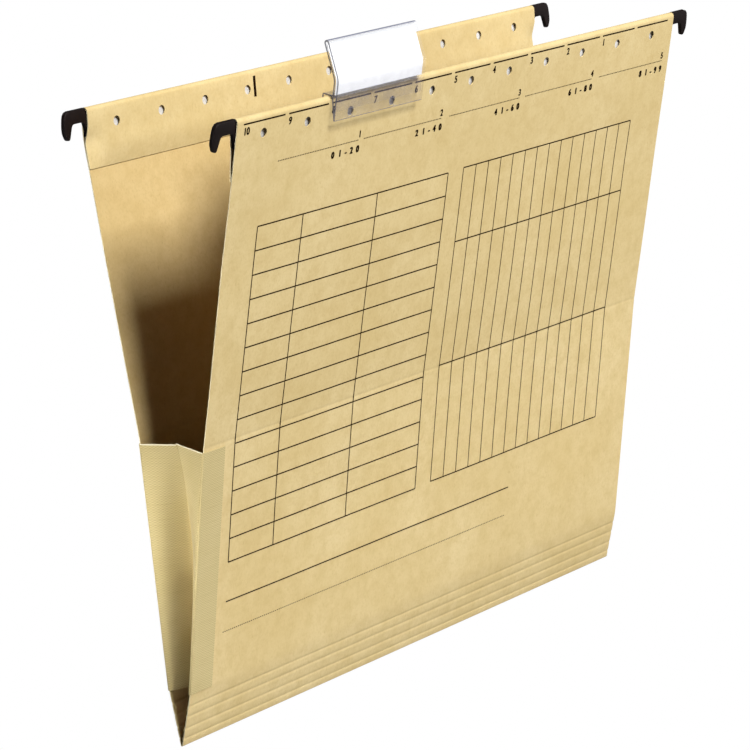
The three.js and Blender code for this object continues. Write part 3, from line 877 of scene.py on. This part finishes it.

# Which faces are sawn ends and edges with painted shade, or rubbed, told apart by where they lie, with small
# margins in mm
SHADED_EDGE, RUBBED = 1, 2
for face in tab.data.polygons:
    away = (face.center - hem_top) / MM
    up, outward = away.dot(hem_up) / MM, away.dot(hem_out) / MM
    from_stud = min(abs(face.center.x / MM - place_x) for place_x in stud_places)
    on_stud = max(from_stud, abs(up + hole_drop)) < stud_radius + 0.1 and outward < stud_out
    in_ledge = abs(up - clear_of_hem) < 0.4 and over_top + 0.3 < outward < tab_front - 0.3
    at_left_end = face.normal.x < -0.7 and face.center.x < (tab_left + 0.5) * MM
    at_top = up > bend_start and face.normal.dot(hem_up) / MM > 0.93
    at_lower_edge = up < 0.2 - tab_drop and not on_stud
    if at_left_end or at_top or at_lower_edge:
        face.material_index = SHADED_EDGE
    elif up < clear_of_hem - 0.3 and not on_stud and not in_ledge:
        face.material_index = RUBBED
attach(tab, "front")
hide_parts("tab_holder")

# The label: a strip of white card, 0.3 mm thick, cut a little shorter than the tab and folded to the window's
# shape. It is slid in from the end, leans on the window's back wall and stands just above its floor.
label_thickness, label_end_gap, label_back_gap, label_floor_gap, label_top_gap = 0.3, 0.25, 0.05, 0.12, 0.4
label_path = window_path(tab_wall / 2 + tab_gap - label_back_gap - label_thickness / 2,
                         hem_gap + tab_wall + label_floor_gap, tab_wall / 2 + label_top_gap)
label = tab_strip("paper_label", label_path, label_thickness, label_end_gap)

# White label card, smoothed between rollers: matte and almost even, with a faint grain of its pulp of 1.4 mm
paper, tree, shader, place = new_finish("white label card", IOR=1.45, Specular_IOR_Level=0.3)
pulp = pattern(tree, place, 700.0, 3.0)
feed(tree, shader, Base_Color=mixed(tree, pulp, "F1F2F4", "FBFBFC"), Roughness=ranged(tree, pulp, 0.6, 0.8),
     Normal=relief(tree, pulp, 0.2, 0.02))
label.data.materials.append(paper)
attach(label, "label")
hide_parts("tab_label")

# The studio: the pocket hangs well above a plain white floor. The key light is large and high in front, with
# a weak low fill near the front right. Two narrow low lights pick out the left gusset, and a small one the
# left cut edges. A weak one lights the right side, and a large soft one the back.
floor_radius = floor_drop = 1.2
floor_bm = bmesh.new()
bmesh.ops.create_circle(floor_bm, cap_ends=True, radius=floor_radius, segments=64)
bmesh.ops.translate(floor_bm, vec=(0, 0, -floor_drop), verts=floor_bm.verts)
floor = link("studio_floor", mesh_of(floor_bm, "studio_floor"))
# White emulsion paint, rolled on: matte, with faint patches of 330 mm
pale, tree, shader, place = new_finish("pale studio floor", Roughness=0.9, Specular_IOR_Level=0.1)
feed(tree, shader, Base_Color=mixed(tree, pattern(tree, place, 3.0), "E4E4E4", "E9E9E9"))
floor.data.materials.append(pale)

# The world lights the pocket only a little and coolly, so that its inside stays dark. The camera sees white
world = bpy.data.worlds.new("studio")
world.use_nodes = True
sky = world.node_tree
dim = sky.nodes["Background"]
dim.inputs["Color"].default_value = linear("C4BCFF")
dim.inputs["Strength"].default_value = 0.02
white = add_node(sky, "Background", {"Color": linear("FFFFFF"), "Strength": 1.0})
seen = add_node(sky, "LightPath").outputs["Is Camera Ray"]
backdrop = add_node(sky, "MixShader", {0: seen, 1: dim.outputs[0], 2: white.outputs[0]})
sky.links.new(backdrop.outputs[0], sky.nodes["World Output"].inputs["Surface"])
bpy.context.scene.world = world


def away_from_middle(azimuth, elevation):
    """A direction in degrees. Azimuth 0 is in front of the printed panel and 90 on its right."""
    a, e = math.radians(azimuth), math.radians(elevation)
    return Vector((math.sin(a) * math.cos(e), -math.cos(a) * math.cos(e), math.sin(e)))


def soft_light(name, azimuth, elevation, distance, size, power, aim=-0.12, spread=180.0):
    """A rectangular light aimed at a height of the pocket. Its size is wide and high."""
    lamp = bpy.data.lights.new(name, "AREA")
    lamp.shape, (lamp.size, lamp.size_y), lamp.energy = "RECTANGLE", size, power
    lamp.spread = math.radians(spread)
    holder = link(name, lamp)
    away = away_from_middle(azimuth, elevation)
    holder.location = away * distance + Vector((0, 0, aim))
    holder.rotation_mode = "QUATERNION"
    holder.rotation_quaternion = away.to_track_quat("Z", "Y")


soft_light("key", -3.5, 46.4, 3.0, (1.0, 0.95), 141)
soft_light("front_fill", 44, 4, 1.1, (0.4, 0.4), 1.95)
soft_light("gusset_light", -102, 0, 1.0, (0.3, 0.08), 0.109, aim=-0.163, spread=9.0)
soft_light("gusset_low_light", -75, -8, 1.0, (0.3, 0.08), 0.022, aim=-0.197, spread=9.0)
soft_light("left_edge_light", -90, 0, 3.0, (0.1, 0.1), 0.034, aim=-0.052, spread=2.8)
soft_light("right_side", 90, 5, 3.0, (0.7, 0.7), 5)
soft_light("back_fill", 165, 12, 3.0, (1.6, 1.6), 60)

# The camera stands to the left of the printed panel and a little above it, rolled slightly
camera = link("camera", bpy.data.cameras.new("camera"))
camera.data.lens, camera.data.sensor_width = 182.035, 36.0
camera.data.clip_start, camera.data.clip_end = 0.05, 60.0
backwards, view_roll = away_from_middle(-53.991, 13.432), math.radians(-1.423)
camera.location = (-1.28992, -0.92100, 0.24592)
camera.rotation_mode = "QUATERNION"
camera.rotation_quaternion = backwards.to_track_quat("Z", "Y") @ Quaternion((0, 0, 1), view_roll)
bpy.context.scene.camera = camera
bpy.context.scene.view_settings.view_transform = "Standard"
